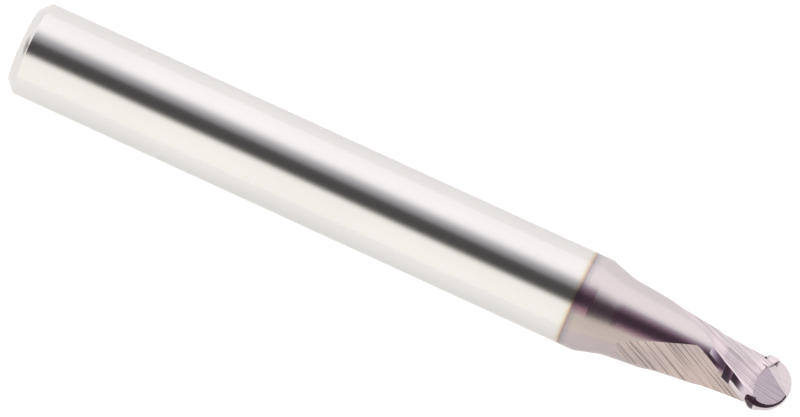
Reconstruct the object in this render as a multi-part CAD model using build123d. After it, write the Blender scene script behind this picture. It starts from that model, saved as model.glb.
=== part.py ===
from build123d import *
import os
from math import acos, atan2, cos, degrees, hypot, pi, radians, sin, sqrt, tan

# Two-flute ball-nose end mill, ground from one carbide rod, with a hard film on its working end.
# Millimetres. The tool lies along +X: back face at X = 0, ball tip at X = overall_length, +Z up.
# "Back" is a distance back from the ball tip. Angles about the axis run from +Y towards +Z.
# Everything ground into the head is there twice, half a turn apart.

# Rod, shoulder and neck
overall_length = 51.0
shank_diameter = 6.0
back_chamfer = 0.6
shank_length = 38.0
coated_length = 14.1
shoulder_half_angle = 16.7
shoulder_blend_radius = 3.0
neck_half_angle = 5.42
neck_radius_at_ball = 1.655

# Ball
ball_diameter = 3.5
ball_join = 2.35

# Where each length of the flutes starts, from the run-out to the ball
runout_end = 10.85
flute_end = 6.2
facet_start = 5.4
tab_start = 4.47
full_start = 4.19
narrow_start = 3.62
neck_end = 2.13

# Lands: the heel of each one follows a right-hand helix; widths are in degrees from the heel
lead = 22.2
heel_angle_at_tip = 164.5
land_angle = 22.0
tab_land_angle = 28.5
narrow_land_angle = 30.5
last_land_angle = 49.0
facet_angle = 12.5
full_facet_angle = 27.5
narrow_facet_angle = 13.5
last_facet_angle = 16.0

# Facets drop towards the heel: heel radius as a share of the neck radius
first_heel_ratio = 0.965
last_heel_ratio = 0.91

# Flutes: corner angles from the heel, and radii as shares of the neck radius
wall_lean = 2.0
wall_foot_ratio = 0.95
wall_foot_hollow = 0.16
floor_hollow = 0.96
corner_angle_at_ball = 58.0
corner_angle_at_end = 118.0
corner_ratio = 0.93
crown_bulge = 0.03

# Back of each tooth: a lip beside the heel, then a flat that keeps its direction, down to a
# straight ridge; the ridge's place across the tool is its place at the tip less a slope times back
grind_angle = 98.2
lip_angle = 3.5
lip_face_turn = 25.0
back_flat_turn = 20.0
ridge_at_tip = 0.19
ridge_slope = 0.302
ridge_limit = 0.985

# Run-out of the flutes, left by the edge of a large wheel
runout_angle = 139.3
runout_half_angle = 8.0
runout_widest_angle = 42.0
runout_depth_rate = 0.19
runout_depth_gain = 0.45

# Faces ground on each side of the ball, as planes over its centre: height there, rise per
# millimetre forward and rise per millimetre across. The clearance face lies in a round pocket.
land_plane = (0.94, -0.17, 0.0)
clearance_plane = (0.59, -0.16, 0.33)
heel_plane = (1.06, 0.0, 0.7)
rake_plane = (0.36, 0.0, 0.5)
gash_wall_plane = (1.49, -0.8, 1.29)
pocket_forward = 0.36
pocket_radius = 1.135
gash_side_forward = -0.97
gash_side_angle = 39.7

shank_radius = shank_diameter / 2
ball_radius = ball_diameter / 2
ball_centre = overall_length - ball_radius
neck_slope = tan(radians(neck_half_angle))


def between(first, last, share):
    return first + (last - first) * share


def stations(first, last, count):
    return [between(first, last, i / (count - 1)) for i in range(count)]


def neck_radius(back):
    return neck_radius_at_ball + neck_slope * (back - ball_join)


def heel_angle(back):
    """Angle about the axis of the heel of the first land."""
    return heel_angle_at_tip - 360 * back / lead


def polar(radius, angle):
    """Point in a cross-section, as (Y, Z)."""
    return (radius * cos(radians(angle)), radius * sin(radians(angle)))


def arc(start, start_radius, end, end_radius, middle_radius):
    """Arc between two polar points through a third at the mean angle."""
    return ThreePointArc(polar(start_radius, start), polar(middle_radius, (start + end) / 2),
                         polar(end_radius, end))


def chord_radius(start, start_radius, end, end_radius):
    """Radius at the mean angle of the straight line between two polar points."""
    half = radians(end - start) / 2
    return 2 * start_radius * end_radius * cos(half) / (start_radius + end_radius)


def cross_section(back, half_outline):
    """Face square to the axis, closed by the same half outline turned half a turn."""
    plane = Plane(origin=(overall_length - back, 0, 0), x_dir=(0, 1, 0), z_dir=(1, 0, 0))
    return plane * make_face(half_outline(back, 0) + half_outline(back, 180))


def open_half(back, turn, border, corner, corner_radius, depth):
    """Half outline with no wall: land, hollow floor and back relief, angles counted from the heel."""
    radius = neck_radius(back)
    heel = heel_angle(back) + turn
    crown_radius = between(radius, corner_radius, 0.6)
    return [
        arc(heel, radius, heel + border, radius, radius),
        arc(heel + border, radius, heel + corner, corner_radius, depth),
        arc(heel + corner, corner_radius, heel + 180, radius, crown_radius),
    ]


def runout_sizes(back):
    """Border, corner, corner radius and depth where the flute dies out on the neck."""
    radius = neck_radius(back)
    share = (back - flute_end) / (runout_end - flute_end)
    gain = 1 + runout_depth_gain * (1 - share)
    depth = neck_radius(runout_end) - runout_depth_rate * (runout_end - back) * gain
    half = max(degrees(acos(min(depth / radius, 1))), runout_half_angle)
    middle = runout_angle - heel_angle(back)
    return (middle - half, middle + min(half, runout_widest_angle),
            radius * between(corner_ratio, 1, share ** 1.5), depth)


def runout_half(back, turn):
    return open_half(back, turn, *runout_sizes(back))


def flute_share(back):
    return max((back - ball_join) / (flute_end - ball_join), 0)


def corner_from_heel(back):
    return between(corner_angle_at_ball, corner_angle_at_end, flute_share(back))


def plain_half(back, turn):
    """Between the run-out and the facets: the run-out's sizes turn into those of the flute."""
    radius = neck_radius(facet_start)
    corner = corner_from_heel(facet_start)
    depth = floor_hollow * chord_radius(land_angle, radius, corner, corner_ratio * radius)
    last = (land_angle, corner, corner_ratio * radius, depth)
    share = (flute_end - back) / (flute_end - facet_start)
    sizes = [between(a, b, share) for a, b in zip(runout_sizes(flute_end), last)]
    return open_half(back, turn, *sizes)


def lip_radius(back, heel_radius):
    """Radius at the foot of the lip, whose face keeps the same direction along the helix."""
    lean = heel_angle(back) - grind_angle + lip_face_turn
    return heel_radius - neck_radius(back) * radians(lip_angle) * tan(radians(max(lean, 0)))


def ridge(back, foot_radius):
    """Polar point where the flat behind the lip ends, before the next heel."""
    foot = heel_angle(back) - grind_angle - lip_angle
    across = ridge_at_tip - ridge_slope * back
    fall = tan(radians(back_flat_turn)) * (foot_radius * sin(radians(foot)) - across)
    height = foot_radius * cos(radians(foot)) - fall
    height = min(height, sqrt((ridge_limit * neck_radius(back)) ** 2 - across ** 2))
    return degrees(atan2(across, height)) + grind_angle, hypot(across, height)


def flute_half(back, turn, land, facet, heel_ratio):
    """One tooth and its flute: facet, land, wall, hollow floor, crown, back flat and lip."""
    radius = neck_radius(back)
    heel = heel_angle(back) + turn
    border = heel + land
    foot_radius = (wall_foot_ratio - wall_foot_hollow * sin(pi * flute_share(back))) * radius
    foot = polar(foot_radius, border + wall_lean)
    corner_angle = heel + corner_from_heel(back)
    corner_radius = corner_ratio * radius
    corner = polar(corner_radius, corner_angle)
    floor = (floor_hollow * (foot[0] + corner[0]) / 2, floor_hollow * (foot[1] + corner[1]) / 2)
    heel_radius = heel_ratio * radius
    lip_foot = lip_radius(back, heel_radius)
    ridge_angle, ridge_radius = ridge(back, lip_foot)
    ridge_angle += 180 + turn
    crown = chord_radius(corner_angle, corner_radius, ridge_angle, ridge_radius)
    return [
        Line(polar(heel_radius, heel), polar(radius, heel + facet)),
        arc(heel + facet, radius, border, radius, radius),
        Line(polar(radius, border), foot),
        ThreePointArc(foot, floor, corner),
        arc(corner_angle, corner_radius, ridge_angle, ridge_radius, crown * (1 + crown_bulge)),
        Line(polar(ridge_radius, ridge_angle), polar(lip_foot, heel + 180 - lip_angle)),
        Line(polar(lip_foot, heel + 180 - lip_angle), polar(heel_radius, heel + 180)),
    ]


def heel_share(back):
    """Heel radius as a share of the neck radius, falling along the facets."""
    share = min(max((facet_start - back) / (facet_start - narrow_start), 0), 1)
    return between(first_heel_ratio, last_heel_ratio, share)


def wide_half(back, turn):
    return flute_half(back, turn, land_angle, facet_angle, heel_share(back))


def tab_half(back, turn):
    return flute_half(back, turn, tab_land_angle, facet_angle, heel_share(back))


def full_half(back, turn):
    return flute_half(back, turn, tab_land_angle, full_facet_angle, heel_share(back))


def narrow_half(back, turn):
    share = (narrow_start - back) / (narrow_start - neck_end)
    land = between(narrow_land_angle, last_land_angle, share ** 2)
    facet = between(narrow_facet_angle, last_facet_angle, share)
    return flute_half(back, turn, land, facet, heel_share(back))


def length_of_neck(half_outline, first, last, count):
    """Length of the fluted neck between two stations."""
    return loft([cross_section(back, half_outline) for back in stations(first, last, count)])


def neck():
    """Fluted neck, in lengths that meet in small ground steps."""
    return (
        length_of_neck(runout_half, runout_end, flute_end, 8)
        + length_of_neck(plain_half, flute_end, facet_start, 3)
        + length_of_neck(wide_half, facet_start, tab_start, 3)
        + length_of_neck(tab_half, tab_start, full_start, 2)
        + length_of_neck(full_half, full_start, narrow_start, 3)
        + length_of_neck(narrow_half, narrow_start, neck_end, 5)
    )


def rod():
    """Shank, chamfered back end, shoulder cone and the plain start of the neck."""
    slope = tan(radians(shoulder_half_angle))
    neck_start = overall_length - runout_end
    meet = (shank_radius + slope * shank_length - neck_radius(overall_length)) / (slope - neck_slope)
    meet_radius = shank_radius - slope * (meet - shank_length)
    reach = shoulder_blend_radius * tan(radians(shoulder_half_angle - neck_half_angle) / 2)
    start = (meet - reach * cos(radians(shoulder_half_angle)),
             meet_radius + reach * sin(radians(shoulder_half_angle)))
    end = (meet + reach * cos(radians(neck_half_angle)),
           meet_radius - reach * sin(radians(neck_half_angle)))
    outline = [
        Polyline((0, 0), (0, shank_radius - back_chamfer), (back_chamfer, shank_radius),
                 (shank_length, shank_radius), start),
        TangentArc(start, end, tangent=(1, -slope)),
        Polyline(end, (neck_start, neck_radius(runout_end)), (neck_start, 0), (0, 0)),
    ]
    return revolve(make_face(outline), Axis.X)


def from_centre(forward, across, up):
    """Direction given forward, across and up in the frame that the ball is ground in."""
    sideways = polar(across, grind_angle + 90)
    upwards = polar(up, grind_angle)
    return Vector(forward, sideways[0] + upwards[0], sideways[1] + upwards[1])


def beyond(point, normal):
    """Block on the far side of a plane near the ball."""
    plane = Plane(origin=Vector(ball_centre, 0, 0) + point, z_dir=normal)
    return plane * Box(4 * ball_radius, 4 * ball_radius, 2 * ball_radius,
                       align=(Align.CENTER, Align.CENTER, Align.MIN))


def above(height, forward_rise, across_rise):
    """Block above a plane that passes over the ball's centre."""
    return beyond(from_centre(0, 0, height), from_centre(-forward_rise, -across_rise, 1))


def pocket():
    """Round pocket that holds the clearance face."""
    up = from_centre(0, 0, 1)
    centre = Vector(ball_centre, 0, 0) + from_centre(pocket_forward, 0, 0)
    bore = Plane(origin=centre, z_dir=up) * Cylinder(pocket_radius, 2 * ball_diameter)
    return above(*clearance_plane) & bore


def gash():
    """Notch at the ball's end that leaves the rake face of the other tooth."""
    side_normal = from_centre(cos(radians(gash_side_angle)), sin(radians(gash_side_angle)), 0)
    side = beyond(from_centre(gash_side_forward, 0, 0), side_normal)
    return above(*rake_plane) & above(*gash_wall_plane) & side


def ball():
    """Ball nose with its ground faces."""
    centre = Vector(ball_centre, 0, 0)
    sphere = Plane(origin=centre, x_dir=(-1, 0, 0), z_dir=from_centre(0, 0, 1)) * Sphere(ball_radius)
    behind = beyond(from_centre(ball_radius - ball_join, 0, 0), (-1, 0, 0))
    nose = sphere - behind
    for cut in (above(*land_plane), above(*heel_plane), pocket(), gash()):
        nose -= cut
        nose -= cut.rotate(Axis.X, 180)
    return nose


def tool():
    return rod() + neck() + ball()


whole = tool()
coating_edge = Plane(origin=(overall_length - coated_length, 0, 0), z_dir=(1, 0, 0))
parts = {
    "shank": split(whole, bisect_by=coating_edge, keep=Keep.BOTTOM),
    "cutting_head": split(whole, bisect_by=coating_edge, keep=Keep.TOP),
}
os.makedirs("parts", exist_ok=True)
for name, shape in parts.items():
    export_step(shape, f"parts/{name}.step")
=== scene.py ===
import math

import bpy
import numpy as np
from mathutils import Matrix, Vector


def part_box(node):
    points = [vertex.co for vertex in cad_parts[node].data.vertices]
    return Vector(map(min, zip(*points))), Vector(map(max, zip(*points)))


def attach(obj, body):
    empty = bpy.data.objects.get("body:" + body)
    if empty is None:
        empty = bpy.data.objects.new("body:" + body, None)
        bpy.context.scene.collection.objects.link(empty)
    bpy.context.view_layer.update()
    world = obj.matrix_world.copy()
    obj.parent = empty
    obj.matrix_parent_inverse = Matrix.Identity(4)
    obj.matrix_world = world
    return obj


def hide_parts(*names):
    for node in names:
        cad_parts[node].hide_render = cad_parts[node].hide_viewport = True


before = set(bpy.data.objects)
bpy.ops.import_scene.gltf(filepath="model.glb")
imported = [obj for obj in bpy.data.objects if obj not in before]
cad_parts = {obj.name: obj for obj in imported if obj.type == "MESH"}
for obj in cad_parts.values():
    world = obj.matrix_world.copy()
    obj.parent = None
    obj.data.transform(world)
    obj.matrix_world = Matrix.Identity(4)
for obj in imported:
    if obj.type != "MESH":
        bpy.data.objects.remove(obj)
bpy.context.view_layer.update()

MM = 0.001
SHANK_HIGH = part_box("shank")[1]
HEAD_LOW, HEAD_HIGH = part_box("cutting_head")
TIP = HEAD_HIGH.x / MM
SPLIT = HEAD_LOW.x / MM
R_SHANK = SHANK_HIGH.z / MM

# Sizes of the tool, in millimetres; "back" is measured from the ball tip
CHAMFER = 0.6
EDGE_BREAK = 0.03
SHOULDER_BACK = 13.0
SHOULDER_FOOT_BACK = 11.4
SHOULDER_ROUND = 0.05
SHOULDER_SLOPE = math.tan(math.radians(16.7))
NECK_SLOPE = math.tan(math.radians(5.42))
NECK_R_AT_BALL = 1.655
BALL_JOIN = 2.35
R_BALL = 1.75
LEAD = 22.2
EDGE_AT_TIP = 161.3
EDGE_HURRY = 7.7           # extra turn of the edge close to the ball
RUNOUT_END = 10.75
FLUTE_END = 6.2
FACET_START = 5.35
TAB_START = 4.42
FULL_START = 4.14
NARROW_START = 3.57
REAR_CREST_END = 8.0       # behind it the tooth back has no look of its own
VIEW_ANGLE = 98.23         # angle about the axis that the camera looks at


def neck_radius(back):
    return NECK_R_AT_BALL + NECK_SLOPE * (back - BALL_JOIN)


def edge_angle(back):
    turned = 360 * min(back, RUNOUT_END) / LEAD
    return EDGE_AT_TIP - turned + EDGE_HURRY * smooth(-back, -3.6, -2.1)


# ---------------------------------------------------------------- meshes

def ring_mesh(name, rows, zones=None):
    """Closed skin over rings of (x, y, z) points; zones is a material index per quad."""
    rows = np.asarray(rows, float)
    n_rows, n_cols = rows.shape[:2]
    verts = rows.reshape(-1, 3)
    i, j = np.meshgrid(np.arange(n_rows - 1), np.arange(n_cols), indexing="ij")
    k = (j + 1) % n_cols
    quads = np.stack([i * n_cols + j, i * n_cols + k, (i + 1) * n_cols + k, (i + 1) * n_cols + j], -1)
    faces = quads.reshape(-1, 4)
    index = zones.reshape(-1) if zones is not None else np.zeros(len(faces), int)
    low = rows[0].mean(0)
    high = rows[-1].mean(0)
    verts = np.vstack([verts, low, high])
    column = np.arange(n_cols)
    following = (column + 1) % n_cols
    last = (n_rows - 1) * n_cols
    low_fan = np.stack([np.full(n_cols, len(verts) - 2), following, column], -1)
    high_fan = np.stack([np.full(n_cols, len(verts) - 1), last + column, last + following], -1)
    loops = np.concatenate([faces.reshape(-1), low_fan.reshape(-1), high_fan.reshape(-1)])
    sizes = np.concatenate([np.full(len(faces), 4), np.full(2 * n_cols, 3)])
    slots = np.concatenate([index, np.full(n_cols, index[0]), np.full(n_cols, index[-1])])
    mesh = bpy.data.meshes.new(name)
    mesh.vertices.add(len(verts))
    mesh.vertices.foreach_set("co", (verts * MM).astype(np.float32).ravel())
    mesh.loops.add(len(loops))
    mesh.loops.foreach_set("vertex_index", loops.astype(np.int32))
    mesh.polygons.add(len(sizes))
    starts = np.concatenate([[0], np.cumsum(sizes)[:-1]])
    mesh.polygons.foreach_set("loop_start", starts.astype(np.int32))
    mesh.polygons.foreach_set("material_index", slots.astype(np.int32))
    mesh.update(calc_edges=True)
    mesh.validate()
    mesh.polygons.foreach_set("use_smooth", np.ones(len(sizes), bool))
    mesh.set_sharp_from_angle(angle=math.radians(14))
    return placed(name, mesh)


def placed(name, data):
    obj = bpy.data.objects.new(name, data)
    bpy.context.scene.collection.objects.link(obj)
    return obj


def circle_rows(profile, columns):
    angles = np.radians(np.arange(columns) * 360 / columns)
    return [[(x, r * math.cos(a), r * math.sin(a)) for a in angles] for x, r in profile]


def shank_piece():
    """Plain shank with a chamfered back edge whose corners are slightly broken."""
    b = EDGE_BREAK
    inner = R_SHANK - CHAMFER
    profile = [(0.0, 0.02), (0.0, 1.0), (0.0, inner - b), (0.3 * b, inner - 0.25 * b), (b, inner + 0.9 * b)]
    profile += [(CHAMFER - b, R_SHANK - b), (CHAMFER - 0.2 * b, R_SHANK - 0.35 * b), (CHAMFER + b, R_SHANK)]
    profile += [(x, R_SHANK) for x in np.linspace(CHAMFER + 4 * b, SPLIT, 24)]
    return ring_mesh("shank_ground", circle_rows(profile, 256))


# Columns of one tooth, by section: facet, land, wall, floor, crest, flat back, lip
SECTION_COLUMNS = (24, 24, 8, 70, 50, 60, 14)
LIP_ANGLE = 3.5
BACK_SLOPE = math.tan(math.radians(18.8))
RUNOUT_ANGLE = 139.3       # angle about the axis that the run-out faces
RUNOUT_SLOPE = 0.19
LIP_LEAN = 28


def smooth(value, low, high):
    t = min(max((value - low) / (high - low), 0.0), 1.0)
    return t * t * (3 - 2 * t)


def mixed(a, b, share):
    """Blend of two rows of corner angles, radii and depth."""
    return tuple((1 - share) * np.asarray(p, float) + share * np.asarray(q, float) for p, q in zip(a, b))


def runout_row(back, r, edge):
    """Imprint of the wheel as it lifted out of the neck."""
    share = min(max((back - FLUTE_END) / (RUNOUT_END - FLUTE_END), 0), 1.0)
    outside = back > RUNOUT_END - 0.01
    depth = neck_radius(RUNOUT_END) - RUNOUT_SLOPE * (RUNOUT_END - back) * (1.45 - 0.45 * share)
    depth = r if outside else min(depth, r)
    blunt = min(14 * math.sqrt(max(RUNOUT_END - back, 0)), 8.0)
    half = max(math.degrees(math.acos(depth / r)), blunt, 1.0)
    centre = RUNOUT_ANGLE - edge
    border = centre - half
    corner = centre + min(1.75 * half, 37)
    corner_r = r * (0.93 + 0.07 * share ** 1.5)
    flat_start = min(max(180 - flat_width(back), corner + 2), 177.0 - LIP_ANGLE)
    crest = r * (1 - 0.045 * (1 - share ** 1.5))
    angles = [0, 12.5, border, border + 0.4, min(corner, flat_start - 1), flat_start, 180 - LIP_ANGLE, 180]
    return angles, [r, r, r, r if outside else r * 0.999, corner_r, crest, r, r], depth


def flat_width(back):
    """Angle taken up by the tooth's flat back behind the lip, away from the ball."""
    return max(40 + 10.3 * (5.37 - back), 6.0)


def back_flat(back, r, foot_angle, foot_r):
    """Far end of the flat behind the lip: polar angle and radius, in the camera's own axes."""
    v_foot = foot_r * math.sin(math.radians(foot_angle))
    w_foot = foot_r * math.cos(math.radians(foot_angle))
    v_end = 0.191 - 0.302 * back
    w_end = w_foot - BACK_SLOPE * (v_foot - v_end)
    w_end = min(w_end, math.sqrt(max((0.985 * r) ** 2 - v_end ** 2, 0.01)))
    return math.degrees(math.atan2(v_end, w_end)), math.hypot(v_end, w_end)


def tooth_row(back, state):
    """Corner angles from the cutting edge, their radii and the floor's depth, over half a turn."""
    r = float(blank_radius(back))
    edge = edge_angle(back)
    if state == "runout":
        return runout_row(back, r, edge)
    share = min(max((back - BALL_JOIN) / (FLUTE_END - BALL_JOIN), 0), 1)
    edge_r = (0.98 - 0.05 * smooth(-back, -4.7, -3.7)) * r
    facet, land = 15.0, 22.0
    if state == "plain":
        edge_r = r
    elif state == "tab":
        land = 28.0
    elif state == "full":
        facet, land = 27.5, 28.5
    elif state == "narrow":
        s = (NARROW_START - back) / (NARROW_START - BALL_JOIN)
        facet, land = 16.0, 22.0 + 10.5 * s
    foot_r = (0.95 - 0.16 * math.sin(math.pi * share) + 0.02 * share) * r
    foot = land + 2
    corner = max(52 + 58 * share, foot + 3)
    corner_r = 0.93 * r
    # the lip beside the edge leans back to the same side all along the helix
    seen = edge - VIEW_ANGLE
    lean = math.tan(math.radians(min(max(seen + LIP_LEAN, 0), 60)))
    lip = edge_r - math.radians(LIP_ANGLE) * r * lean * smooth(-back, -5.8, -5.0)
    flat_angle, flat_r = back_flat(back, r, seen - LIP_ANGLE, lip)
    flat = smooth(-back, -5.9, -5.0)
    width = flat_width(back) * (1 - flat) + (seen - flat_angle) * flat
    crest = 0.94 * r * (1 - flat) + flat_r * flat
    flat_start = max(180 - width, corner + 2)
    foot_turn = math.radians(foot)
    corner_turn = math.radians(corner)
    chord = 0.5 * math.hypot(foot_r * math.cos(foot_turn) + corner_r * math.cos(corner_turn),
                             foot_r * math.sin(foot_turn) + corner_r * math.sin(corner_turn))
    angles = [0, facet, land, foot, corner, flat_start, 180 - LIP_ANGLE, 180]
    row = angles, [edge_r, r, r, foot_r, corner_r, crest, lip, edge_r], 0.96 * chord
    if state == "plain":
        start_r = float(blank_radius(FLUTE_END))
        a, radii, depth = runout_row(FLUTE_END, start_r, edge_angle(FLUTE_END))
        start = a, [value * r / start_r for value in radii], depth * r / start_r
        row = mixed(start, row, smooth(-back, -FLUTE_END, -FACET_START))
    return row


def blank_radius(back):
    """Radius before the flutes are cut."""
    if back > SHOULDER_BACK:
        return R_SHANK
    cone = R_SHANK - SHOULDER_SLOPE * (SHOULDER_BACK - back)
    neck = neck_radius(back)
    # round the hollow at the foot of the shoulder
    h = max(SHOULDER_ROUND - abs(cone - neck), 0) / SHOULDER_ROUND
    return max(cone, neck) + h * h * SHOULDER_ROUND * 0.25


def arc_radius(angle, a0, r0, a1, r1, mid):
    """Polar radius along the circle through three polar points."""
    corners = ((a0, r0), ((a0 + a1) / 2, mid), (a1, r1))
    points = [(r * math.cos(math.radians(a)), r * math.sin(math.radians(a))) for a, r in corners]
    (ax, ay), (bx, by), (cx, cy) = points
    d = 2 * (ax * (by - cy) + bx * (cy - ay) + cx * (ay - by))
    if abs(d) < 1e-9:
        return r0 + (r1 - r0) * (angle - a0) / max(a1 - a0, 1e-9)
    a_sq = ax * ax + ay * ay
    b_sq = bx * bx + by * by
    c_sq = cx * cx + cy * cy
    ux = (a_sq * (by - cy) + b_sq * (cy - ay) + c_sq * (ay - by)) / d
    uy = (a_sq * (cx - bx) + b_sq * (ax - cx) + c_sq * (bx - ax)) / d
    rad = math.hypot(ax - ux, ay - uy)
    th = np.radians(angle)
    p = ux * np.cos(th) + uy * np.sin(th)
    q = ux * ux + uy * uy - rad * rad
    root = np.sqrt(np.maximum(p * p - q, 0))
    near, far = p - root, p + root
    return np.where(np.abs(far - mid) < np.abs(near - mid), far, near)


def row_points(back, state):
    """Polar angles and radii of the whole section at one station; both teeth are alike."""
    angles, radii, depth = tooth_row(back, state)
    top = float(blank_radius(back))
    out_a, out_r = [], []
    for k, count in enumerate(SECTION_COLUMNS):
        a0, a1, r0, r1 = angles[k], angles[k + 1], radii[k], radii[k + 1]
        t = np.arange(count) / count
        a = a0 + (a1 - a0) * t
        straight = k in (0, 5, 6) and abs(r0 - r1) + abs(top - r0) > 1e-6
        if straight:
            p0 = np.array([r0 * math.cos(math.radians(a0)), r0 * math.sin(math.radians(a0))])
            p1 = np.array([r1 * math.cos(math.radians(a1)), r1 * math.sin(math.radians(a1))])
            p = p0 + (p1 - p0) * t[:, None]
            rad = np.hypot(p[:, 0], p[:, 1])
            a = np.degrees(np.arctan2(p[:, 1], p[:, 0]))
        elif k == 3:
            rad = arc_radius(a, a0, r0, a1, r1, depth)
        elif k == 4:
            chord = r0 * r1 * math.sin(math.radians(a1 - a0)) / (
                r0 * np.sin(np.radians(a - a0)) + r1 * np.sin(np.radians(a1 - a)) + 1e-9)
            share = 0.85 * smooth(-back, -5.8, -4.6)
            rad = (r0 + (r1 - r0) * t) * (1 - share) + chord * share
        else:
            rad = r0 + (r1 - r0) * t
        out_a.append(a)
        out_r.append(np.minimum(rad, top) * np.ones(count))
    a = np.concatenate(out_a)
    rad = np.concatenate(out_r)
    a = np.concatenate([a, a + 180]) + edge_angle(back)
    return a, np.concatenate([rad, rad])


ZONE_NECK, ZONE_FACET, ZONE_LAND, ZONE_FLOOR, ZONE_BACK = range(5)
ZONE_FACE, ZONE_RAKE, ZONE_DARK, ZONE_STEP = range(5, 9)
SECTION_ZONES = (ZONE_FACET, ZONE_LAND, ZONE_LAND, ZONE_FLOOR, ZONE_BACK, ZONE_BACK, ZONE_BACK)

# The ball's ground faces: u forward of its centre, v across, w up; the same cuts are made from both sides
FACE_HEIGHT = 0.58835
POCKET_U = 0.43452
POCKET_R = 1.13458
GASH_U = -0.12070
GASH_V = -1.02595
GASH_BACK_SLOPE = 0.83
RAKE_HEIGHT = 0.23537
LAND_HEIGHT = 0.97767
LAND_CURVE_U = 0.48280
LAND_CURVE = 0.13256
HEEL_V = -0.48280
HEEL_HEIGHT = 1.00664

# Where the neck ends under the ball: a curve across, then the gash's straight back edge
NECK_END_U = -0.38021
NECK_END_CURVE = 0.21541
NECK_SIDE_U = -0.97164
NECK_LOW_V = 1.14665
NECK_LAST_U = 0.42245
WIDEN_START = -0.66385
SWELL_START = -0.59747
SWELL_END = -0.24140
EVEN_END = -0.50091
SLIDE_START = -0.51901
SLIDE_END = -0.39831

# The small step where the land ends at the ball; its near-black colour is painted shade
STEP_V = 0.98371
STEP_U = 0.04828
STEP_BACK_V = 0.56729
STEP_LOW_V = 1.87085
STEP_RIM_V = 1.38805

GRID_STEPS = 590
GRID_END = 1.78033
CLOSED = 6e-11


def ball_height(u, v):
    """Height and zone of the ground ball at one station, seen from one side."""
    height = np.sqrt(np.maximum(R_BALL ** 2 - u * u - v * v, 0))
    zone = np.full(len(v), ZONE_LAND)
    face = FACE_HEIGHT + 0.33 * v - 0.16 * u
    in_pocket = (u - POCKET_U) ** 2 + v ** 2 < POCKET_R ** 2
    beyond = 0.555 * (u - GASH_U) - 0.832 * (v - GASH_V)
    gash = (beyond > 0) & ((u - GASH_U) > -GASH_BACK_SLOPE * (v - GASH_V))
    rake = np.maximum(RAKE_HEIGHT + 0.45 * v, face - 1.15 * beyond)
    land = LAND_HEIGHT - 0.17 * u - LAND_CURVE * max(u - LAND_CURVE_U, 0) ** 2
    for where, cut, name in (
        (True, land, ZONE_DARK),
        (v < HEEL_V, HEEL_HEIGHT + 0.585 * v, ZONE_BACK),
        (in_pocket, face, ZONE_FACE),
        (gash, rake, ZONE_RAKE),
    ):
        lower = where & (cut < height)
        height = np.where(lower, cut, height)
        zone = np.where(lower, name, zone)
    return height, zone


def neck_under_ball(u):
    """The neck's section under the ball: whole in polar form, its near half as heights."""
    a, r = row_points(R_BALL - u, "narrow")
    phi = np.radians(a - VIEW_ANGLE)
    order = np.argsort((phi + math.pi) % (2 * math.pi))
    phi = phi[order]
    r = r[order]
    v = r * np.sin(phi)
    w = r * np.cos(phi)
    near = slice(int(v.argmin()), int(v.argmax()) + 1)
    return phi, r, np.maximum.accumulate(v[near]), w[near], section_zones()[order][near]


def joined_height(u, v, neck):
    """Ball and neck together: the neck ends at the curved back boundary of the ground faces."""
    if neck is None:
        return ball_height(u, v)
    nv, nw, nz = neck[2:]
    # the ball narrows to the neck's own width behind its centre
    whole = math.sqrt(R_BALL ** 2 - u * u)
    width = nv[-1] + (whole - nv[-1]) * smooth(u, WIDEN_START, SWELL_END)
    height, zone = ball_height(u, v * whole / width)
    line = np.where(v < GASH_V, NECK_SIDE_U - GASH_BACK_SLOPE * v, NECK_END_U + NECK_END_CURVE * v ** 2)
    use = ((u < line) & (v < NECK_LOW_V)) | (u < NECK_END_U)
    at = np.clip(np.searchsorted(nv, v + 6e-8, side="right") - 1, 0, len(nv) - 1)
    under = np.interp(v, nv, nw) - 1.5 * np.maximum(nv[0] - v, 0) - 3.0 * np.maximum(v - nv[-1], 0)
    side = (v < GASH_V) | (v > NECK_LOW_V)
    share = np.where(v < 0, smooth(u, SWELL_START, SWELL_END), smooth(u, SWELL_START, NECK_END_U))
    swollen = np.where(side, under + np.maximum(height - under, 0) * share, under)
    height = np.where(use, swollen, height)
    zone = np.where(use, np.where(v < GASH_V, ZONE_BACK, nz[at]), zone)
    # the step region, which gets a near-black material below as painted shade
    step = (v > STEP_V) & (u < STEP_U) & (zone != ZONE_DARK)
    step &= (v > STEP_BACK_V - 0.83 * u) & (v < STEP_LOW_V + 0.91 * u)
    return height, np.where(step, ZONE_STEP, zone)


def half_width(u, neck):
    """Distance across at which the two sides meet, found by halving."""
    def gap(v):
        v = np.atleast_1d(v)
        return joined_height(u, v, neck)[0] + joined_height(u, -v, neck)[0]

    grid = np.linspace(0, GRID_END, GRID_STEPS + 1)
    low = grid[max(int((gap(grid) <= CLOSED).argmax()) - 1, 0)]
    high = low + grid[1]
    for _ in range(24):
        middle = (low + high) / 2
        if gap(middle)[0] > CLOSED:
            low = middle
        else:
            high = middle
    return low


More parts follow.
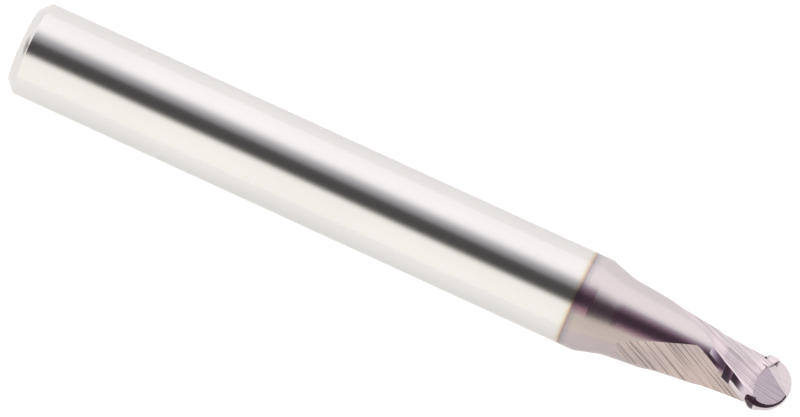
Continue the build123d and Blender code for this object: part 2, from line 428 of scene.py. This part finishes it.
def ball_rows(first_columns):
    """Rings of points and their zones from the neck to the tip of the ball."""
    even = first_columns[0] + 360 * np.arange(len(first_columns)) / len(first_columns)
    body_end = 0.62
    body = np.linspace(R_BALL - BALL_JOIN, body_end * R_BALL, 120)[1:]
    cap = R_BALL * np.sin(np.linspace(math.asin(body_end), math.radians(89.2), 80))[1:]
    view = math.radians(VIEW_ANGLE)
    rows, zones = [], []
    for u in np.concatenate([body, cap]):
        share = smooth(u, SWELL_START, EVEN_END)
        phi = np.radians(first_columns * (1 - share) + even * share - VIEW_ANGLE)
        neck = neck_under_ball(u) if u < NECK_LAST_U else None
        v = half_width(u, neck) * np.sin(phi)
        slide = smooth(u, SLIDE_START, SLIDE_END)
        if slide < 1:
            radius = np.interp(phi, neck[0], neck[1], period=2 * math.pi)
            v = v * slide + radius * np.sin(phi) * (1 - slide)
        near = np.cos(phi) >= 0
        height, zone = joined_height(u, np.where(near, v, -v), neck)
        w = np.where(near, height, -height)
        if slide == 0:
            w = radius * np.cos(phi)
        y = w * math.cos(view) - v * math.sin(view)
        z = w * math.sin(view) + v * math.cos(view)
        rows.append(np.stack([np.full(len(v), TIP - R_BALL + u), y, z], -1))
        zones.append(np.where(~near & (zone == ZONE_STEP) & (np.abs(v) > STEP_RIM_V), ZONE_LAND, zone))
    return rows, zones


def section_zones():
    half = np.concatenate([np.full(c, z) for c, z in zip(SECTION_COLUMNS, SECTION_ZONES)])
    return np.concatenate([half, half])


def head_spans():
    """Stations, kind of section and zones of each stretch from the shank to the ball."""
    whole = section_zones()
    plain = np.full(len(whole), ZONE_NECK)
    landless = np.where(whole == ZONE_LAND, ZONE_NECK, whole)
    fluted = np.where(landless == ZONE_FACET, ZONE_NECK, landless)
    rear = np.where(fluted == ZONE_BACK, ZONE_NECK, fluted)
    tiny = 0.004
    runout = np.linspace(RUNOUT_END - 0.03, FLUTE_END, 90)
    return (
        (np.linspace(TIP - SPLIT, SHOULDER_BACK + 0.02, 14), "runout", plain),
        (np.linspace(SHOULDER_BACK, SHOULDER_FOOT_BACK + 0.05, 40)[1:], "runout", plain),
        (np.linspace(SHOULDER_FOOT_BACK, RUNOUT_END, 16), "runout", plain),
        (runout[runout > REAR_CREST_END], "runout", rear),
        (runout[runout <= REAR_CREST_END], "runout", fluted),
        (np.linspace(FLUTE_END - tiny, FACET_START, 16), "plain", fluted),
        (np.linspace(FACET_START - tiny, TAB_START, 20), "wide", landless),
        (np.linspace(TAB_START - tiny, FULL_START, 8), "tab", landless),
        (np.linspace(FULL_START - tiny, NARROW_START, 12), "full", whole),
        (np.linspace(NARROW_START - tiny, BALL_JOIN, 30), "narrow", whole),
    )


def head_piece():
    """Shoulder, neck, two helical teeth and the ball, as one closed skin."""
    rows, zones = [], []
    for stations, state, zone in head_spans():
        for back in stations:
            degrees, r = row_points(back, state)
            a = np.radians(degrees)
            rows.append(np.stack([np.full(len(a), TIP - back), r * np.cos(a), r * np.sin(a)], -1))
            zones.append(zone)
    ball, ball_zones = ball_rows(degrees)
    return ring_mesh("cutting_head_ground", rows + ball, np.array(zones + ball_zones)[:-1])


# ---------------------------------------------------------------- materials

class Nodes:
    """Short hand for building one node tree."""

    def __init__(self, tree):
        self.tree = tree
        self.tree.nodes.clear()

    def add(self, kind, **settings):
        node = self.tree.nodes.new(kind)
        for key, value in settings.items():
            setattr(node, key, value)
        return node

    def link(self, a, b):
        self.tree.links.new(a, b)

    def put(self, socket, value):
        if hasattr(value, "is_output"):
            self.link(value, socket)
        else:
            socket.default_value = value

    def math(self, operation, a, b=0.0, clamp=False):
        node = self.add("ShaderNodeMath", operation=operation, use_clamp=clamp)
        self.put(node.inputs[0], a)
        self.put(node.inputs[1], b)
        return node.outputs[0]

    def dot(self, vector, direction):
        node = self.add("ShaderNodeVectorMath", operation="DOT_PRODUCT")
        self.link(vector, node.inputs[0])
        node.inputs[1].default_value = direction
        return node.outputs["Value"]

    def noise(self, vector, detail=3.0, rough=0.55):
        node = self.add("ShaderNodeTexNoise")
        self.link(vector, node.inputs["Vector"])
        node.inputs["Scale"].default_value = 1.0
        node.inputs["Detail"].default_value = detail
        node.inputs["Roughness"].default_value = rough
        return node.outputs["Fac"]

    def ramp(self, value, stops):
        node = self.add("ShaderNodeValToRGB")
        node.color_ramp.interpolation = "LINEAR"
        elements = node.color_ramp.elements
        while len(elements) < len(stops):
            elements.new(0.5)
        for element, (position, colour) in zip(elements, stops):
            element.position = position
            element.color = (*colour, 1)
        self.link(value, node.inputs[0])
        return node.outputs[0]

    def spread(self, value, low, high, to_low=0.0, to_high=1.0):
        node = self.add("ShaderNodeMapRange")
        self.link(value, node.inputs[0])
        for k, number in enumerate((low, high, to_low, to_high)):
            node.inputs[k + 1].default_value = number
        return node.outputs[0]

    def mix(self, factor, a, b, blend="MIX"):
        node = self.add("ShaderNodeMix", data_type="RGBA", blend_type=blend)
        self.put(node.inputs[0], factor)
        self.put(node.inputs[6], a)
        self.put(node.inputs[7], b)
        return node.outputs[2]

    def bump(self, height, strength, distance, below=None):
        node = self.add("ShaderNodeBump")
        node.inputs["Strength"].default_value = strength
        node.inputs["Distance"].default_value = distance
        self.link(height, node.inputs["Height"])
        if below is not None:
            self.link(below, node.inputs["Normal"])
        return node.outputs[0]


class Surface(Nodes):
    """A principled material with the piece's own coordinates at hand."""

    def __init__(self, name):
        self.material = bpy.data.materials.new(name)
        self.material.use_nodes = True
        super().__init__(self.material.node_tree)
        self.bsdf = self.add("ShaderNodeBsdfPrincipled")
        self.link(self.bsdf.outputs[0], self.add("ShaderNodeOutputMaterial").inputs[0])
        self.coord = self.add("ShaderNodeTexCoord").outputs["Object"]

    def split(self):
        """Place along each axis, in metres."""
        node = self.add("ShaderNodeSeparateXYZ")
        self.link(self.coord, node.inputs[0])
        return node.outputs

    def mapping(self, scale):
        node = self.add("ShaderNodeMapping")
        self.link(self.coord, node.inputs[0])
        node.inputs["Scale"].default_value = scale
        return node.outputs[0]


def turned(degrees):
    """Direction square to the axis, at so many degrees about it."""
    return Vector((0, math.cos(math.radians(degrees)), math.sin(math.radians(degrees))))


side = turned(VIEW_ANGLE)
down = turned(VIEW_ANGLE + 90)
BARE = (0.80, 0.795, 0.79)
FRINGE_START = SPLIT - 0.54
FRINGE_LENGTH = 1.3
# Tints across the coating's edge, by share of the fringe's length, ending on the full film
FRINGE = [
    (0.00, (1.0, 1.0, 1.0)), (0.22, (0.985, 0.98, 0.95)), (0.28, (0.95, 0.93, 0.86)),
    (0.35, (0.91, 0.83, 0.70)), (0.43, (0.76, 0.62, 0.51)), (0.50, (0.52, 0.43, 0.43)),
    (0.57, (0.60, 0.56, 0.61)), (0.66, (0.67, 0.645, 0.67)), (0.69, (0.655, 0.62, 0.63)),
    (0.72, (0.72, 0.685, 0.705)), (0.85, (0.775, 0.73, 0.745)), (1.0, (0.785, 0.735, 0.75)),
]


def times(colour, base):
    return tuple(c * b for c, b in zip(colour, base))


def film_tone(n, colour, lower_shade=True, reach=(0.015, 0.06)):
    """The film looks purple where it faces the eye, and its lower side is painted darker and browner as
    painted shade.
    """
    weight = n.add("ShaderNodeLayerWeight")
    weight.inputs["Blend"].default_value = 0.5
    facing = n.spread(weight.outputs["Facing"], *reach, 1.0, 0.0)
    toned = n.mix(facing, n.mix(1.0, colour, (1.06, 1.05, 1.06, 1), "MULTIPLY"),
                  n.mix(1.0, colour, (0.80, 0.52, 0.72, 1), "MULTIPLY"))
    if not lower_shade:
        return toned
    # painted shade: the coated neck is darkened and browned towards its lower side
    tone = n.ramp(n.spread(n.dot(n.coord, down * 1000), 0.3, 2.3), [
        (0.0, (1, 1, 1)), (0.15, (0.72, 0.68, 0.64)), (0.6, (0.75, 0.72, 0.68)), (1.0, (0.84, 0.80, 0.80))])
    return n.mix(1.0, toned, tone, "MULTIPLY")


def ground_metal(name, tint=(1, 1, 1), rough=0.13, coated=True, depth=0.35, scratch=0.0014, lower_shade=True):
    """Ground carbide: bare before the coating's edge, filmed after it, with grinding lines and nicks."""
    n = Surface(name)
    x = n.math("MULTIPLY", n.split()[0], 1000.0)
    wander = n.noise(n.mapping((300, 300, 300)), 2.0)
    shifted = n.math("ADD", x, n.math("MULTIPLY", n.math("SUBTRACT", wander, 0.5), 0.05))
    place = n.math("DIVIDE", n.math("SUBTRACT", shifted, FRINGE_START), FRINGE_LENGTH, clamp=True)
    colour = n.ramp(place, [(p, times(c, BARE)) for p, c in FRINGE])
    if tint != (1, 1, 1):
        colour = n.mix(1.0, colour, (*tint, 1), "MULTIPLY")
    if coated:
        colour = n.mix(n.spread(x, SPLIT - 0.3, SPLIT + 0.3), colour, film_tone(n, colour, lower_shade))
    patches = n.noise(n.mapping((120, 120, 120)), 4.0)
    colour = n.mix(1.0, colour, n.ramp(patches, [(0.3, (0.96, 0.96, 0.96)), (0.7, (1, 1, 1))]), "MULTIPLY")
    n.put(n.bsdf.inputs["Base Color"], colour)
    n.bsdf.inputs["Metallic"].default_value = 1.0
    fine = n.noise(n.mapping((5400, 60, 60)), 3.0, 0.6)
    nicks = n.noise(n.mapping((14000, 5200, 5200)), 3.0, 0.65)
    n.put(n.bsdf.inputs["Roughness"], n.spread(fine, 0.3, 0.7, rough * 0.85, rough * 1.2))
    normal = n.bump(nicks, 1.0, scratch * MM, n.bump(fine, depth, 0.0000012))
    n.link(normal, n.bsdf.inputs["Normal"])
    return n.material


def leaning(angle):
    """Direction along the tool, leaning down across the view by so many degrees."""
    return Vector((math.cos(math.radians(angle)), 0, 0)) + down * math.sin(math.radians(angle))


HELIX_WAY = leaning(26)
AXIAL_WAY = leaning(8)
FLANK_WAY = leaning(19)


def wheel_ground(name, tint, rough, along, spacing, depth, contrast, lines=(0.36, 0.64),
                 reach=(0.012, 0.05)):
    """A face cut by a wheel: straight streaks along one direction, on the coated tone."""
    n = Surface(name)
    across = along.cross(side).normalized()
    pack = n.add("ShaderNodeCombineXYZ")
    n.link(n.math("MULTIPLY", n.dot(n.coord, across), spacing), pack.inputs[0])
    n.link(n.math("MULTIPLY", n.dot(n.coord, along), spacing * 0.016), pack.inputs[1])
    streaks = n.noise(pack.outputs[0], 4.0, 0.62)
    base = times(tint, times(FRINGE[-1][1], BARE))
    low = tuple(c * (1 - contrast) for c in base)
    high = tuple(min(c * (1 + contrast), 1) for c in base)
    colour = n.ramp(streaks, [(lines[0], low), (lines[1], high)])
    n.put(n.bsdf.inputs["Base Color"], film_tone(n, colour, False, reach))
    n.bsdf.inputs["Metallic"].default_value = 1.0
    n.put(n.bsdf.inputs["Roughness"], n.spread(streaks, 0.3, 0.7, rough * 0.8, rough * 1.25))
    n.link(n.bump(streaks, 1.0, depth * MM), n.bsdf.inputs["Normal"])
    return n.material


def head_materials():
    """One material for each zone, in the zones' order."""
    return (
        ground_metal("neck_coated", rough=0.17, depth=0.6, scratch=0.0045),
        wheel_ground("relief_facet_coated", (0.93, 0.89, 1.01), 0.12, HELIX_WAY, 6000, 0.0006, 0.08,
                     reach=(0.012, 0.06)),
        ground_metal("land_coated", (1.04, 1.03, 1.06), rough=0.15, scratch=0.003, lower_shade=False),
        # dark brown tint: painted shade on the down-facing flute floor; the streaks are grinding marks
        wheel_ground("flute_floor_coated", (0.63, 0.57, 0.54), 0.26, HELIX_WAY, 9000, 0.007, 0.34,
                     (0.36, 0.50)),
        wheel_ground("tooth_back_coated", (0.97, 0.94, 0.975), 0.18, FLANK_WAY, 9000, 0.012, 0.16,
                     (0.36, 0.56)),
        wheel_ground("ball_clearance_coated", (0.98, 0.93, 1.02), 0.22, AXIAL_WAY, 14000, 0.004, 0.2),
        wheel_ground("ball_rake_coated", (1.05, 1.04, 1.05), 0.20, AXIAL_WAY, 8000, 0.002, 0.05),
        wheel_ground("ball_land_coated", (0.85, 0.80, 0.85), 0.16, HELIX_WAY, 6000, 0.0015, 0.10),
        # near-black tint: painted shade of the small step at the ball
        wheel_ground("step_coated_painted_shade", (0.09, 0.06, 0.085), 0.25, AXIAL_WAY, 6000, 0.003, 0.35),
    )


# ---------------------------------------------------------------- the object

shank = shank_piece()
shank.data.materials.append(ground_metal("shank_ground_carbide", coated=False))
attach(shank, "root")
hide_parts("shank")

head = head_piece()
for material in head_materials():
    head.data.materials.append(material)
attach(head, "root")
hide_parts("cutting_head")


# ---------------------------------------------------------------- floor, light and camera

FLOOR_HALF = 3.0
# share of the floor's glow lost under the painted reflection patch
REFLECTION_PATCH_GLOW_LOST = 0.75


def pale_floor():
    """Pale glowing paper; reflections alone also see a brown patch painted behind the tool, a painted
    reflection for the shank's back chamfer.
    """
    n = Surface("pale_floor")
    place = n.split()
    seen = n.add("ShaderNodeLightPath").outputs["Is Camera Ray"]
    # painted reflection: a brown patch behind the tool that only reflection rays see, darkening the back
    # chamfer
    reflection_patch = n.math("MULTIPLY", n.spread(place[0], -0.045, -0.035, 1.0, 0.0),
                  n.spread(n.math("ABSOLUTE", place[1]), 0.008, 0.013, 1.0, 0.0))
    reflection_patch = n.math("MULTIPLY", reflection_patch, n.math("SUBTRACT", 1.0, seen))
    grain = n.noise(n.mapping((900, 900, 900)), 3.0)
    pale = n.ramp(grain, [(0.3, (0.90, 0.90, 0.895)), (0.7, (0.93, 0.93, 0.925))])
    n.put(n.bsdf.inputs["Base Color"], n.mix(reflection_patch, pale, (0.30, 0.26, 0.22, 1)))
    n.bsdf.inputs["Roughness"].default_value = 0.9
    n.bsdf.inputs["Emission Color"].default_value = (1, 1, 0.995, 1)
    glow = n.spread(seen, 0.0, 1.0, 0.40, 0.70)
    dimmed = n.math("SUBTRACT", 1.0, n.math("MULTIPLY", reflection_patch, REFLECTION_PATCH_GLOW_LOST))
    n.link(n.math("MULTIPLY", glow, dimmed), n.bsdf.inputs["Emission Strength"])
    return n.material


floor_mesh = bpy.data.meshes.new("floor")
floor_sides = ((-1, -1), (1, -1), (1, 1), (-1, 1))
floor_corners = [(sx * FLOOR_HALF, sy * FLOOR_HALF, -R_SHANK * MM) for sx, sy in floor_sides]
floor_mesh.from_pydata(floor_corners, [], [(0, 1, 2, 3)])
floor = placed("floor", floor_mesh)
floor_mesh.materials.append(pale_floor())

# Colour of the surround by the angle round the tool, 0 at the camera's side and positive downwards:
# pale all round, with a dark strip where the camera looks through
SKY = [
    (-180, (0.95, 0.93, 0.92)), (-98, (1.14, 1.105, 1.115)), (-64, (1.21, 1.155, 1.16)),
    (-50, (1.16, 1.11, 1.11)), (-42, (0.95, 0.92, 0.93)), (-34, (0.62, 0.60, 0.62)),
    (-27, (0.42, 0.41, 0.43)), (-20, (0.265, 0.255, 0.265)), (-13, (0.10, 0.095, 0.096)),
    (-5, (0.082, 0.077, 0.077)), (2, (0.083, 0.078, 0.077)), (7, (0.10, 0.096, 0.094)),
    (10, (0.13, 0.125, 0.12)), (15, (0.36, 0.34, 0.32)), (20, (0.86, 0.83, 0.78)),
    (26, (1.12, 1.08, 1.02)), (60, (1.15, 1.11, 1.05)), (82, (1.12, 1.08, 1.03)), (180, (0.95, 0.93, 0.92)),
]


def studio():
    """Soft surround whose dark strip widens downwards in front of the tool."""
    world = bpy.data.worlds.new("studio")
    world.use_nodes = True
    n = Nodes(world.node_tree)
    background = n.add("ShaderNodeBackground")
    n.link(background.outputs[0], n.add("ShaderNodeOutputWorld").inputs[0])
    toward = n.add("ShaderNodeTexCoord").outputs["Generated"]
    turn = n.math("ARCTAN2", n.dot(toward, down), n.dot(toward, side))
    degrees = n.math("MULTIPLY", turn, 180 / math.pi)
    forward = n.math("DIVIDE", n.math("ADD", n.dot(toward, Vector((1, 0, 0))), 0.07), 0.4, clamp=True)
    below = n.math("MULTIPLY", n.math("GREATER_THAN", degrees, 0.0), 0.75)
    widening = n.math("ADD", n.math("MULTIPLY", forward, below), 1.0)
    degrees = n.math("DIVIDE", degrees, widening)
    place = n.math("DIVIDE", n.math("ADD", degrees, 180.0), 360.0)
    colour = n.ramp(place, [((angle + 180) / 360, tone) for angle, tone in SKY])
    n.link(colour, background.inputs[0])
    return world


bpy.context.scene.world = studio()

TILT = math.radians(3.8)
CAMERA_DISTANCE = 660.0
PICTURE_WIDTH = 48.3985        # length of tool that the picture spans
AIM_ALONG = 24.907
AIM_ABOVE = 0.441
SENSOR_WIDTH = 36.0

to_camera = Vector((math.sin(TILT), 0, 0)) + side * math.cos(TILT)
target = Vector((AIM_ALONG, 0, 0)) - down * AIM_ABOVE
camera_data = bpy.data.cameras.new("camera")
camera_data.sensor_width = SENSOR_WIDTH
camera_data.lens = SENSOR_WIDTH * CAMERA_DISTANCE / PICTURE_WIDTH
camera_data.clip_start = 0.01
camera_data.clip_end = 20.0
camera = placed("camera", camera_data)
camera.location = (target + to_camera * CAMERA_DISTANCE) * MM
camera.rotation_euler = (-to_camera).to_track_quat("-Z", "Y").to_euler()
bpy.context.scene.camera = camera
bpy.context.scene.view_settings.view_transform = "Standard"
bpy.context.scene.view_settings.look = "None"
